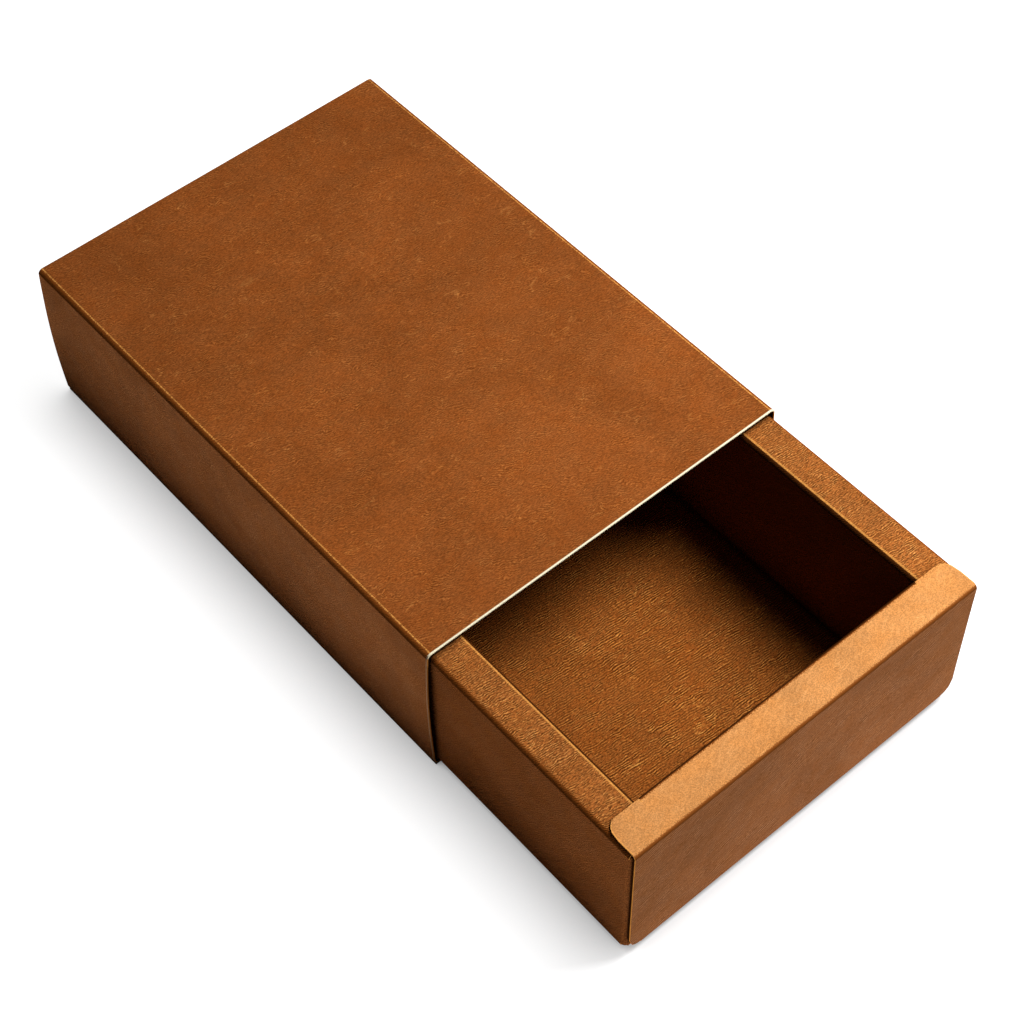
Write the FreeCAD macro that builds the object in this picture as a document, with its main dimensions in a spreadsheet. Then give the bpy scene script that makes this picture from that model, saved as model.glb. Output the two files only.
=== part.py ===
"""Sliding drawer box folded from two sheets of kraft board, in millimetres.

The sleeve is a glued tube that is open at both ends.  The tray inside it has a hollow,
rolled-over wall on each of its four sides.  Each panel between two creases is a piece of
its own and carries the rounded creases that it needs, so the pieces meet face to face.

Frame: +Z up, origin at the centre of the sleeve's base, the tray opens towards -Y.
"""
import FreeCAD, Part
import os
from math import pi
from types import SimpleNamespace

import Sketcher
from FreeCAD import Placement, Rotation, Vector

# Alias, size in millimetres, meaning.
DRIVING_SIZES = [
    ("board", 0.7, "thickness of the kraft board"),
    ("crease_radius", 1.6, "outer radius of a rounded crease"),
    ("sleeve_width", 120.0, "sleeve, outside, across its creases"),
    ("sleeve_height", 52.0, "sleeve, outside, up"),
    ("sleeve_length", 172.0, "sleeve, from mouth to mouth"),
    ("sleeve_bow", 0.9, "outward bow of a side panel, half way up"),
    ("glue_flap_width", 16.0, "glue flap, from the left side inwards"),
    ("glue_flap_taper", 9.0, "run of the sloping end of the glue flap"),
    ("seam_inset", 0.4, "free edge of the bottom panel, in from the left side"),
    ("side_play", 0.4, "tray to sleeve, each side"),
    ("under_play", 0.2, "tray floor above the glue flap"),
    ("head_play", 0.5, "end rim of the tray below the sleeve's top panel"),
    ("length_play", 0.4, "sleeve longer than the tray"),
    ("drawer_pull", 74.0, "tray drawn out of the sleeve as it stands"),
    ("side_rim_width", 11.2, "left and right hollow wall, outside to inside"),
    ("end_rim_width", 11.8, "front and back hollow wall, outside to inside"),
    ("end_inset", 0.6, "end wall narrower than the tray, each side"),
    ("rim_end_radius", 5.0, "rounded end of a front or back rim"),
    ("foot_radius", 4.0, "rounded lower corner of an end wall"),
    ("fold_gap", 0.4, "end wall to the corner tab behind it"),
    ("corner_tab_reach", 26.0, "corner tab, from the side of the tray inwards"),
    ("corner_tab_radius", 5.0, "rounded free corner of a corner tab"),
    ("tab_relief", 0.2, "corner tab to the creases above and below it"),
    ("tuck_gap", 0.6, "end of an inner wall to its neighbour"),
    ("lock_tab_width", 16.0, "lock tab at the foot of an inner wall"),
    ("lock_tab_recess", 0.1, "lock tab above the underside of the floor"),
    ("slot_play", 0.2, "lock tab to the edge of its slot"),
    ("side_tab_spacing", 90.0, "between the lock tabs of a side wall"),
    ("end_tab_spacing", 46.0, "between the lock tabs of an end wall"),
]

# Start angle of each quarter circle, seen in the plane of its sketch.
UPPER_RIGHT = 0.0
UPPER_LEFT = pi / 2
LOWER_LEFT = pi
LOWER_RIGHT = 3 * pi / 2

# Turns that bring a piece from the front or left of the tray to another corner or side.
NO_TURN = Rotation()
ABOUT_X = Rotation(Vector(1, 0, 0), 180)
ABOUT_Y = Rotation(Vector(0, 1, 0), 180)
ABOUT_Z = Rotation(Vector(0, 0, 1), 180)


class Size:
    """A length held both as a spreadsheet expression and as its value."""

    def __init__(self, text, value):
        self.text = text
        self.value = value

    def __add__(self, other):
        other = as_size(other)
        return Size(f"({self.text} + {other.text})", self.value + other.value)

    def __sub__(self, other):
        other = as_size(other)
        return Size(f"({self.text} - {other.text})", self.value - other.value)

    def __mul__(self, other):
        other = as_size(other)
        return Size(f"({self.text} * {other.text})", self.value * other.value)

    def __truediv__(self, other):
        other = as_size(other)
        return Size(f"({self.text} / {other.text})", self.value / other.value)

    def __neg__(self):
        return self * -1


def as_size(number):
    """Return a plain number as a Size, and a Size unchanged."""
    if isinstance(number, Size):
        return number
    return Size(str(number), float(number))


def write_sheet(doc):
    """Put the driving sizes in a spreadsheet and return them by name."""
    sheet = doc.addObject("Spreadsheet::Sheet", "Sizes")
    sizes = SimpleNamespace()
    for row, (alias, value, meaning) in enumerate(DRIVING_SIZES, start=1):
        sheet.set(f"A{row}", meaning)
        sheet.set(f"B{row}", str(value))
        sheet.setAlias(f"B{row}", alias)
        setattr(sizes, alias, Size(f"Sizes.{alias}", value))
    doc.recompute()
    return sizes


def add_derived_sizes(s):
    """Work out the sizes that follow from the driving ones."""
    s.inner_radius = s.crease_radius - s.board
    s.sleeve_half = s.sleeve_width / 2
    s.tray_width = s.sleeve_width - (s.board + s.side_play) * 2
    # The glue flap lies on the bottom panel, and the tray runs above them both.
    s.tray_base = s.board * 2 + s.under_play
    s.tray_height = s.sleeve_height - s.tray_base - s.board - s.head_play
    s.tray_length = s.sleeve_length - s.length_play
    s.tray_side = s.tray_width / 2
    s.tray_end = s.tray_length / 2
    s.tray_place = (0, -s.drawer_pull, s.tray_base)
    # The end rims lie on top of the side rims, one board higher.
    s.side_height = s.tray_height - s.board
    s.end_side = s.tray_side - s.end_inset
    s.cavity_side = s.tray_side - s.side_rim_width
    s.cavity_end = s.tray_end - s.end_rim_width
    s.tucked_side = s.cavity_side - s.tuck_gap
    s.tab_face = s.tray_end - s.board - s.fold_gap


def new_body(doc, label, place=(0, 0, 0), turn=NO_TURN):
    """Add a body whose place follows the spreadsheet."""
    body = doc.addObject("PartDesign::Body", label)
    body.Label = label
    x, y, z = (as_size(length) for length in place)
    body.Placement = Placement(Vector(x.value, y.value, z.value), turn)
    for axis, length in (("x", x), ("y", y), ("z", z)):
        body.setExpression(f"Placement.Base.{axis}", length.text)
    return body


def new_sketch(body, role, name, offset=None):
    """Add a sketch on one of the body's origin planes, moved along its normal."""
    sketch = body.newObject("Sketcher::SketchObject", f"{body.Label}_{name}")
    planes = [plane for plane in body.Origin.OriginFeatures if plane.Role == role]
    sketch.AttachmentSupport = [(planes[0], "")]
    sketch.MapMode = "FlatFace"
    if offset is not None:
        sketch.AttachmentOffset = Placement(Vector(0, 0, offset.value), NO_TURN)
        sketch.setExpression("AttachmentOffset.Base.z", offset.text)
    return sketch


def bind(sketch, kind, references, length):
    """Add a constraint that takes its value from the spreadsheet."""
    index = sketch.addConstraint(Sketcher.Constraint(kind, *references, length.value))
    sketch.setExpression(f"Constraints[{index}]", length.text)


def join(sketch, first, second):
    """Make two points of a sketch coincide."""
    sketch.addConstraint(Sketcher.Constraint("Coincident", *first, *second))


def draw_polygon(sketch, corners):
    """Draw a closed outline whose every corner is tied to the spreadsheet."""
    corners = [(as_size(x), as_size(y)) for x, y in corners]
    points = [Vector(x.value, y.value, 0) for x, y in corners]
    lines = []
    for start, end in zip(points, points[1:] + points[:1]):
        lines.append(sketch.addGeometry(Part.LineSegment(start, end), False))
    for line, following in zip(lines, lines[1:] + lines[:1]):
        join(sketch, (line, 2), (following, 1))
    for line, (x, y) in zip(lines, corners):
        bind(sketch, "DistanceX", (-1, 1, line, 1), x)
        bind(sketch, "DistanceY", (-1, 1, line, 1), y)


def draw_rectangle(sketch, left, right, low, high):
    """Draw a rectangle tied to the spreadsheet."""
    draw_polygon(sketch, [(left, low), (right, low), (right, high), (left, high)])


def draw_crease(sketch, centre, start_angle, s):
    """Draw a quarter of a ring: the section of a rounded crease."""
    x, y = centre
    middle = Vector(x.value, y.value, 0)
    end_angle = start_angle + pi / 2
    arcs = []
    for radius in (s.crease_radius, s.inner_radius):
        circle = Part.Circle(middle, Vector(0, 0, 1), radius.value)
        arcs.append(sketch.addGeometry(Part.ArcOfCircle(circle, start_angle, end_angle), False))
        bind(sketch, "Radius", (arcs[-1],), radius)
    outer, inner = arcs
    bind(sketch, "DistanceX", (-1, 1, outer, 3), x)
    bind(sketch, "DistanceY", (-1, 1, outer, 3), y)
    join(sketch, (outer, 3), (inner, 3))
    level_first = start_angle in (UPPER_RIGHT, LOWER_LEFT)
    directions = ("Horizontal", "Vertical") if level_first else ("Vertical", "Horizontal")
    outer_curve = sketch.Geometry[outer]
    inner_curve = sketch.Geometry[inner]
    ends = (
        (1, outer_curve.StartPoint, inner_curve.StartPoint, directions[0]),
        (2, outer_curve.EndPoint, inner_curve.EndPoint, directions[1]),
    )
    for position, outer_point, inner_point, direction in ends:
        cap = sketch.addGeometry(Part.LineSegment(outer_point, inner_point), False)
        join(sketch, (outer, position), (cap, 1))
        join(sketch, (inner, position), (cap, 2))
        for arc in arcs:
            sketch.addConstraint(
                Sketcher.Constraint(direction, outer, 3, arc, position))


def draw_bowed_strip(sketch, outer_x, inner_x, low, high, s):
    """Draw the section of an upright panel that bows away from the sleeve's middle."""
    height = high - low
    radius = height * height / (s.sleeve_bow * 8) + s.sleeve_bow / 2
    bows_right = outer_x.value > 0
    arcs = []
    for x in (outer_x, inner_x):
        ends = [Vector(x.value, low.value, 0), Vector(x.value, high.value, 0)]
        reach = s.sleeve_bow.value if bows_right else -s.sleeve_bow.value
        middle = (ends[0] + ends[1]) / 2 + Vector(reach, 0, 0)
        arcs.append(sketch.addGeometry(Part.Arc(ends[0], middle, ends[1]), False))
        bind(sketch, "Radius", (arcs[-1],), radius)
    # A sketch keeps its arcs counterclockwise, so the lower end comes first on the right.
    low_end, high_end = (1, 2) if bows_right else (2, 1)
    for arc, x in zip(arcs, (outer_x, inner_x)):
        bind(sketch, "DistanceX", (-1, 1, arc, low_end), x)
        bind(sketch, "DistanceY", (-1, 1, arc, low_end), low)
        bind(sketch, "DistanceX", (-1, 1, arc, high_end), x)
        bind(sketch, "DistanceY", (-1, 1, arc, high_end), high)
    for height_level, end in ((low, low_end), (high, high_end)):
        start = Vector(outer_x.value, height_level.value, 0)
        finish = Vector(inner_x.value, height_level.value, 0)
        cap = sketch.addGeometry(Part.LineSegment(start, finish), False)
        join(sketch, (arcs[0], end), (cap, 1))
        join(sketch, (arcs[1], end), (cap, 2))


def pad(body, sketch, length, both_ways=True):
    """Extrude a sketch, to both sides of its plane or along its normal."""
    feature = body.newObject("PartDesign::Pad", f"{sketch.Label}_pad")
    feature.Profile = sketch
    feature.SideType = "Symmetric" if both_ways else "One side"
    feature.Length = length.value
    feature.setExpression("Length", length.text)
    sketch.Visibility = False
    return feature


def round_corners(doc, body, feature, radius, near):
    """Round the edges of a feature whose middles lie at the given points."""
    doc.recompute()
    names = []
    for point in near:
        target = Vector(*(as_size(length).value for length in point))
        distances = [
            (edge.CenterOfMass.distanceToPoint(target), number)
            for number, edge in enumerate(feature.Shape.Edges, start=1)
        ]
        names.append(f"Edge{min(distances)[1]}")
    rounded = body.newObject("PartDesign::Fillet", f"{feature.Label}_round")
    rounded.Base = (feature, names)
    rounded.Radius = radius.value
    rounded.setExpression("Radius", radius.text)
    return rounded


def make_sleeve_top(doc, s):
    """Top panel, flat between its two creases."""
    body = new_body(doc, "sleeve_top_panel")
    edge = s.sleeve_half - s.crease_radius
    sketch = new_sketch(body, "XZ_Plane", "section")
    draw_rectangle(sketch, -edge, edge, s.sleeve_height - s.board, s.sleeve_height)
    pad(body, sketch, s.sleeve_length)


def make_sleeve_right(doc, s):
    """Right panel, slightly bowed, with the creases to the top and the bottom panel."""
    body = new_body(doc, "sleeve_right_panel")
    centre_x = s.sleeve_half - s.crease_radius
    upper = s.sleeve_height - s.crease_radius
    panel = new_sketch(body, "XZ_Plane", "panel")
    draw_bowed_strip(panel, s.sleeve_half, s.sleeve_half - s.board, s.crease_radius, upper, s)
    pad(body, panel, s.sleeve_length)
    top_crease = new_sketch(body, "XZ_Plane", "top_crease")
    draw_crease(top_crease, (centre_x, upper), UPPER_RIGHT, s)
    pad(body, top_crease, s.sleeve_length)
    base_crease = new_sketch(body, "XZ_Plane", "base_crease")
    draw_crease(base_crease, (centre_x, s.crease_radius), LOWER_RIGHT, s)
    pad(body, base_crease, s.sleeve_length)


def make_sleeve_left(doc, s):
    """Left panel, slightly bowed, with the crease to the top panel."""
    body = new_body(doc, "sleeve_left_panel")
    upper = s.sleeve_height - s.crease_radius
    panel = new_sketch(body, "XZ_Plane", "panel")
    draw_bowed_strip(
        panel, -s.sleeve_half, s.board - s.sleeve_half, s.board + s.crease_radius, upper, s)
    pad(body, panel, s.sleeve_length)
    top_crease = new_sketch(body, "XZ_Plane", "top_crease")
    draw_crease(top_crease, (s.crease_radius - s.sleeve_half, upper), UPPER_LEFT, s)
    pad(body, top_crease, s.sleeve_length)


def make_sleeve_bottom(doc, s):
    """Bottom panel, which the box stands on, with its free edge at the glued seam."""
    body = new_body(doc, "sleeve_bottom_panel")
    sketch = new_sketch(body, "XZ_Plane", "section")
    draw_rectangle(
        sketch, s.seam_inset - s.sleeve_half, s.sleeve_half - s.crease_radius, 0, s.board)
    pad(body, sketch, s.sleeve_length)


def make_glue_flap(doc, s):
    """Glue flap: creased in from the left panel and glued on the bottom panel."""
    body = new_body(doc, "sleeve_glue_flap")
    flap_start = s.crease_radius - s.sleeve_half
    crease = new_sketch(body, "XZ_Plane", "crease")
    draw_crease(crease, (flap_start, s.board + s.crease_radius), LOWER_LEFT, s)
    pad(body, crease, s.sleeve_length)
    free_edge = s.glue_flap_width - s.sleeve_half
    sleeve_end = s.sleeve_length / 2
    tapered_end = sleeve_end - s.glue_flap_taper
    flap = new_sketch(body, "XY_Plane", "flap", s.board)
    draw_polygon(flap, [
        (flap_start, -sleeve_end),
        (free_edge, -tapered_end),
        (free_edge, tapered_end),
        (flap_start, sleeve_end),
    ])
    pad(body, flap, s.board, both_ways=False)


def draw_lock_tabs(sketch, spacing, s):
    """Draw the two lock tabs at the foot of an inner wall."""
    for middle in (-spacing / 2, spacing / 2):
        left = middle - s.lock_tab_width / 2
        right = middle + s.lock_tab_width / 2
        draw_rectangle(sketch, left, right, s.lock_tab_recess, s.board)


def make_tray_floor(doc, s):
    """Floor of the tray, slotted for the lock tabs of the four inner walls."""
    body = new_body(doc, "tray_floor", s.tray_place)
    side = s.tray_side - s.crease_radius
    end = s.tray_end - s.crease_radius
    sketch = new_sketch(body, "XY_Plane", "outline")
    draw_rectangle(sketch, -side, side, -end, end)
    slot_reach = s.lock_tab_width / 2 + s.slot_play
    for direction in (-1, 1):
        side_middle = s.side_tab_spacing * direction / 2
        end_middle = s.end_tab_spacing * direction / 2
        outer = s.cavity_side + s.board + s.slot_play
        inner = s.cavity_side - s.slot_play
        for side_sign in (-1, 1):
            draw_rectangle(
                sketch, outer * side_sign, inner * side_sign,
                side_middle - slot_reach, side_middle + slot_reach)
        outer = s.cavity_end + s.board + s.slot_play
        inner = s.cavity_end - s.slot_play
        for end_sign in (-1, 1):
            draw_rectangle(
                sketch, end_middle - slot_reach, end_middle + slot_reach,
                outer * end_sign, inner * end_sign)
    pad(body, sketch, s.board, both_ways=False)


def make_side_outer_wall(doc, s, side, turn):
    """Outer wall of a side, with the crease up from the floor."""
    body = new_body(doc, f"tray_{side}_outer_wall", s.tray_place, turn)
    length = (s.tab_face - s.crease_radius) * 2
    crease = new_sketch(body, "XZ_Plane", "crease")
    draw_crease(crease, (s.crease_radius - s.tray_side, s.crease_radius), LOWER_LEFT, s)
    pad(body, crease, length)
    panel = new_sketch(body, "XZ_Plane", "panel")
    draw_rectangle(
        panel, -s.tray_side, s.board - s.tray_side,
        s.crease_radius, s.side_height - s.crease_radius)
    pad(body, panel, length)


def make_side_rim(doc, s, side, turn):
    """Rim of a side: a narrow panel between two rounded creases."""
    body = new_body(doc, f"tray_{side}_rim", s.tray_place, turn)
    length = (s.tray_end - s.crease_radius) * 2
    outer_x = s.crease_radius - s.tray_side
    inner_x = -s.cavity_side - s.crease_radius
    crease_z = s.side_height - s.crease_radius
    panel = new_sketch(body, "XZ_Plane", "panel")
    draw_rectangle(panel, outer_x, inner_x, s.side_height - s.board, s.side_height)
    pad(body, panel, length)
    outer_crease = new_sketch(body, "XZ_Plane", "outer_crease")
    draw_crease(outer_crease, (outer_x, crease_z), UPPER_LEFT, s)
    pad(body, outer_crease, length)
    inner_crease = new_sketch(body, "XZ_Plane", "inner_crease")
    draw_crease(inner_crease, (inner_x, crease_z), UPPER_RIGHT, s)
    pad(body, inner_crease, length)


def make_side_inner_wall(doc, s, side, turn):
    """Inner wall of a side, locked into the floor by two tabs."""
    body = new_body(doc, f"tray_{side}_inner_wall", s.tray_place, turn)
    outer_face = -s.cavity_side - s.board
    end = s.tab_face - s.board - s.tuck_gap
    panel = new_sketch(body, "YZ_Plane", "panel", outer_face)
    draw_rectangle(panel, -end, end, s.board, s.side_height - s.crease_radius)
    pad(body, panel, s.board, both_ways=False)
    tabs = new_sketch(body, "YZ_Plane", "lock_tabs", outer_face)
    draw_lock_tabs(tabs, s.side_tab_spacing, s)
    pad(body, tabs, s.board, both_ways=False)


def make_end_outer_wall(doc, s, end, turn):
    """Outer wall of an end: rounded at its foot and creased up from the floor."""
    body = new_body(doc, f"tray_{end}_outer_wall", s.tray_place, turn)
    panel = new_sketch(body, "YZ_Plane", "panel")
    draw_rectangle(
        panel, -s.tray_end, s.board - s.tray_end,
        s.crease_radius, s.tray_height - s.crease_radius)
    wall = pad(body, panel, s.end_side * 2)
    middle_y = s.board / 2 - s.tray_end
    round_corners(doc, body, wall, s.foot_radius, [
        (-s.end_side, middle_y, s.crease_radius),
        (s.end_side, middle_y, s.crease_radius),
    ])
    crease = new_sketch(body, "YZ_Plane", "crease")
    draw_crease(crease, (s.crease_radius - s.tray_end, s.crease_radius), LOWER_LEFT, s)
    pad(body, crease, (s.end_side - s.foot_radius) * 2)


def make_end_rim(doc, s, end, turn):
    """Rim of an end: its rounded ends lie over the side rims."""
    body = new_body(doc, f"tray_{end}_rim", s.tray_place, turn)
    front = s.crease_radius - s.tray_end
    back = -s.cavity_end
    crease_back = back - s.crease_radius
    crease_z = s.tray_height - s.crease_radius
    outline = new_sketch(body, "XY_Plane", "panel", s.side_height)
    draw_polygon(outline, [
        (-s.end_side, front),
        (s.end_side, front),
        (s.end_side, back),
        (s.tucked_side, back),
        (s.tucked_side, crease_back),
        (-s.tucked_side, crease_back),
        (-s.tucked_side, back),
        (-s.end_side, back),
    ])
    panel = pad(body, outline, s.board, both_ways=False)
    middle_z = s.side_height + s.board / 2
    round_corners(doc, body, panel, s.rim_end_radius, [
        (-s.end_side, back, middle_z),
        (s.end_side, back, middle_z),
    ])
    outer_crease = new_sketch(body, "YZ_Plane", "outer_crease")
    draw_crease(outer_crease, (front, crease_z), UPPER_LEFT, s)
    pad(body, outer_crease, s.end_side * 2)
    inner_crease = new_sketch(body, "YZ_Plane", "inner_crease")
    draw_crease(inner_crease, (crease_back, crease_z), UPPER_RIGHT, s)
    pad(body, inner_crease, s.tucked_side * 2)


def make_end_inner_wall(doc, s, end, turn):
    """Inner wall of an end, tucked between the side walls and locked into the floor."""
    body = new_body(doc, f"tray_{end}_inner_wall", s.tray_place, turn)
    panel = new_sketch(body, "XZ_Plane", "panel", s.cavity_end)
    draw_rectangle(
        panel, -s.tucked_side, s.tucked_side, s.board, s.tray_height - s.crease_radius)
    pad(body, panel, s.board, both_ways=False)
    tabs = new_sketch(body, "XZ_Plane", "lock_tabs", s.cavity_end)
    draw_lock_tabs(tabs, s.end_tab_spacing, s)
    pad(body, tabs, s.board, both_ways=False)


def make_corner_tab(doc, s, corner, turn):
    """Corner tab: folded from a side wall's end to behind the end wall.

    It is the same above and below its middle, so half turns bring it to every corner.
    """
    x, y, z = s.tray_place
    body = new_body(doc, f"corner_tab_{corner}", (x, y, z + s.side_height / 2), turn)
    height = s.side_height - s.crease_radius * 2 - s.tab_relief * 2
    crease_x = s.crease_radius - s.tray_side
    tip = s.corner_tab_reach - s.tray_side
    panel = new_sketch(body, "XY_Plane", "panel")
    draw_rectangle(panel, crease_x, tip, -s.tab_face, s.board - s.tab_face)
    tab = pad(body, panel, height)
    middle_y = s.board / 2 - s.tab_face
    round_corners(doc, body, tab, s.corner_tab_radius, [
        (tip, middle_y, -height / 2),
        (tip, middle_y, height / 2),
    ])
    crease = new_sketch(body, "XY_Plane", "crease")
    draw_crease(crease, (crease_x, s.crease_radius - s.tab_face), LOWER_LEFT, s)
    pad(body, crease, height)


def build(doc):
    """Build every piece of the sleeve and the tray."""
    s = write_sheet(doc)
    add_derived_sizes(s)
    for make_panel in (make_sleeve_top, make_sleeve_right, make_sleeve_left,
                       make_sleeve_bottom, make_glue_flap):
        make_panel(doc, s)
    make_tray_floor(doc, s)
    for side, turn in (("left", NO_TURN), ("right", ABOUT_Z)):
        make_side_outer_wall(doc, s, side, turn)
        make_side_rim(doc, s, side, turn)
        make_side_inner_wall(doc, s, side, turn)
    for end, turn in (("front", NO_TURN), ("back", ABOUT_Z)):
        make_end_outer_wall(doc, s, end, turn)
        make_end_rim(doc, s, end, turn)
        make_end_inner_wall(doc, s, end, turn)
    for corner, turn in (("front_left", NO_TURN), ("front_right", ABOUT_Y),
                         ("back_left", ABOUT_X), ("back_right", ABOUT_Z)):
        make_corner_tab(doc, s, corner, turn)
    doc.recompute()


def check(doc):
    """Stop if any object failed or any piece is not one sound solid."""
    for item in doc.Objects:
        if "Invalid" in item.State or "Error" in item.State:
            raise RuntimeError(f"{item.Label} did not build")
    for body in pieces(doc):
        if body.Shape.isNull() or not body.Shape.isValid():
            raise RuntimeError(f"{body.Label} has no sound shape")
        if len(body.Shape.Solids) != 1:
            raise RuntimeError(f"{body.Label} is not one solid")


def pieces(doc):
    """Return the bodies, one for each piece."""
    return [item for item in doc.Objects if item.TypeId == "PartDesign::Body"]


def export(doc):
    """Write each piece to a STEP file of its own."""
    os.makedirs("parts", exist_ok=True)
    for body in pieces(doc):
        body.Shape.exportStep(f"parts/{body.Label}.step")
        print(f"{body.Label}: {body.Shape.Volume:.1f} mm3")


document = FreeCAD.newDocument("drawer_box")
build(document)
check(document)
export(document)
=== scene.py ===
"""Dress a sliding drawer gift box: folded kraft board sleeve and tray, stage and camera.

Every strip of board is drawn in section as a pen would draw it, swept along its fold and
given its thickness. All sizes are in metres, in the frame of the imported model.
"""

import math
from typing import NamedTuple

import bmesh
import bpy
from bpy.props import FloatProperty, FloatVectorProperty, PointerProperty
from mathutils import Matrix, Vector, kdtree, noise


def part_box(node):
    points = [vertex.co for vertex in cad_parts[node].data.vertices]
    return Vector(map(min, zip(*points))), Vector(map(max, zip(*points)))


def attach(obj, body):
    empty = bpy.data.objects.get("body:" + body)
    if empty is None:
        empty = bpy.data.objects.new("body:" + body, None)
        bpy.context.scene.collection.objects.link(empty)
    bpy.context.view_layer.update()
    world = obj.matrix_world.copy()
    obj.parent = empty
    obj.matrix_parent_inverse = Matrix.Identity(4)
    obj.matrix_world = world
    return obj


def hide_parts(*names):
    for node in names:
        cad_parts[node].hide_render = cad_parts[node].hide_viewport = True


bl_info = {
    "name": "Sliding Drawer Gift Box",
    "version": (1, 0, 0),
    "blender": (4, 5, 0),
    "location": "3D View > Sidebar > Gift Box",
    "description": "Folded board sleeve and tray of an oblong gift box, with a plain stage",
    "category": "Object",
}

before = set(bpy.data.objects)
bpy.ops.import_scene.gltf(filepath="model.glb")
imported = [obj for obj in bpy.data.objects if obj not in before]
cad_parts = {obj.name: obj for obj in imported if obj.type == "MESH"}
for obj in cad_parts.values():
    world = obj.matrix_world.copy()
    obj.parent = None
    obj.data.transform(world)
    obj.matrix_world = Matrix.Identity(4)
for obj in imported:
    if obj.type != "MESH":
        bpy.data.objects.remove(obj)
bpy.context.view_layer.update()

X, Y, Z = 0, 1, 2
LOW, HIGH = 0, 1
CUT_SLOT = 1
QUARTER_TURN = math.pi / 2
FULL_TURN = 2 * math.pi
UP = Vector((0, 0, 1))


def edge(node, side, axis):
    """Where a node of the frame begins (LOW) or ends (HIGH) along an axis."""
    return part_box(node)[side][axis]


# Sizes that the frame gives. The tray's own are measured from its middle and its underside.
BOARD = edge("sleeve_top_panel", HIGH, Z) - edge("sleeve_top_panel", LOW, Z)
CREASE_RADIUS = edge("tray_floor", LOW, X) - edge("tray_left_outer_wall", LOW, X)
SLEEVE_HEIGHT = edge("sleeve_top_panel", HIGH, Z)
SLEEVE_END = edge("sleeve_top_panel", HIGH, Y)
SLEEVE_SIDE = edge("sleeve_top_panel", HIGH, X) + CREASE_RADIUS
SLEEVE_BOW = edge("sleeve_right_panel", HIGH, X) - SLEEVE_SIDE
SEAM_EDGE = edge("sleeve_bottom_panel", LOW, X)
FLAP_EDGE = edge("sleeve_glue_flap", HIGH, X)
TRAY_BASE = edge("tray_floor", LOW, Z)
TRAY_MIDDLE = (edge("tray_floor", LOW, Y) + edge("tray_floor", HIGH, Y)) / 2
TRAY_SIDE = edge("tray_right_outer_wall", HIGH, X)
TRAY_END = edge("tray_back_outer_wall", HIGH, Y) - TRAY_MIDDLE
SIDE_HEIGHT = edge("tray_right_rim", HIGH, Z) - TRAY_BASE
END_HEIGHT = edge("tray_back_rim", HIGH, Z) - TRAY_BASE
CAVITY_SIDE = edge("tray_right_rim", LOW, X)
CAVITY_END = edge("tray_back_rim", LOW, Y) - TRAY_MIDDLE
SIDE_WALL_REACH = edge("tray_right_outer_wall", HIGH, Y) - TRAY_MIDDLE
SIDE_RIM_REACH = edge("tray_right_rim", HIGH, Y) - TRAY_MIDDLE
SIDE_INNER_REACH = edge("tray_right_inner_wall", HIGH, Y) - TRAY_MIDDLE
END_REACH = edge("tray_back_rim", HIGH, X)
TUCKED_REACH = edge("tray_back_inner_wall", HIGH, X)
TAB_TIP = edge("corner_tab_front_right", LOW, X)
TAB_FACE = TRAY_MIDDLE - edge("corner_tab_front_right", LOW, Y)
TAB_HALF_HEIGHT = (
    edge("corner_tab_front_right", HIGH, Z) - edge("corner_tab_front_right", LOW, Z)) / 2


def number_setting(label, what, value, **kind):
    return FloatProperty(name=label, description=what, default=value, **kind)


def length_setting(label, what, value):
    return number_setting(label, what, value, unit="LENGTH")


def share_setting(label, what, value):
    return number_setting(label, what, value, subtype="FACTOR")


def angle_setting(label, what, degrees):
    return number_setting(label, what, math.radians(degrees), unit="ROTATION")


def triple_setting(label, what, value, **kind):
    return FloatVectorProperty(name=label, description=what, default=value, size=3, **kind)


def place_setting(label, what, value):
    return triple_setting(label, what, value, subtype="TRANSLATION", unit="LENGTH")


def colour_setting(label, what, value):
    return triple_setting(label, what, value, subtype="COLOR")


class GiftBoxBoard(bpy.types.PropertyGroup):
    """Sizes of the folded board that the frame's boxes don't give."""

    flap_taper: length_setting("Flap taper", "Run of the sloping end of the glue flap", 0.009)
    rim_end_radius: length_setting("Rim end radius", "Rounded end of a front or back rim", 0.005)
    foot_radius: length_setting(
        "Foot radius", "Rounded lower corner of a front or back wall", 0.004)
    tab_radius: length_setting(
        "Corner tab radius", "Rounded corners at the tip of a corner tab", 0.005)
    lock_tab_width: length_setting(
        "Lock tab width", "Width of a lock tab at the foot of an inner wall", 0.016)
    lock_tab_recess: length_setting(
        "Lock tab recess", "Tip of a lock tab above the tray's underside", 0.0001)
    side_tab_spacing: length_setting(
        "Side tab spacing", "Between the lock tabs of a side wall", 0.09)
    end_tab_spacing: length_setting(
        "End tab spacing", "Between the lock tabs of an end wall", 0.046)
    mesh_step: length_setting(
        "Mesh step", "Widest spacing of the rows and columns of a strip", 0.003)
    cut_softness: length_setting("Cut softness", "Rounding of the tray's die-cut edges", 0.0001)
    mouth_softness: length_setting(
        "Mouth softness", "Rounding of the sleeve's die-cut edges", 0.00026)
    lip_share: share_setting(
        "Lip share", "How far a rim's lips reach over the crease beside them", 0.6)
    ripple: length_setting("Ripple", "Depth of the slow hollows in the board", 0.00012)
    ripple_length: length_setting("Ripple length", "Width of one slow hollow", 0.035)
    stiff_width: length_setting(
        "Stiff width", "Width beside a crease or seam that has no full hollow", 0.012)


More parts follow.
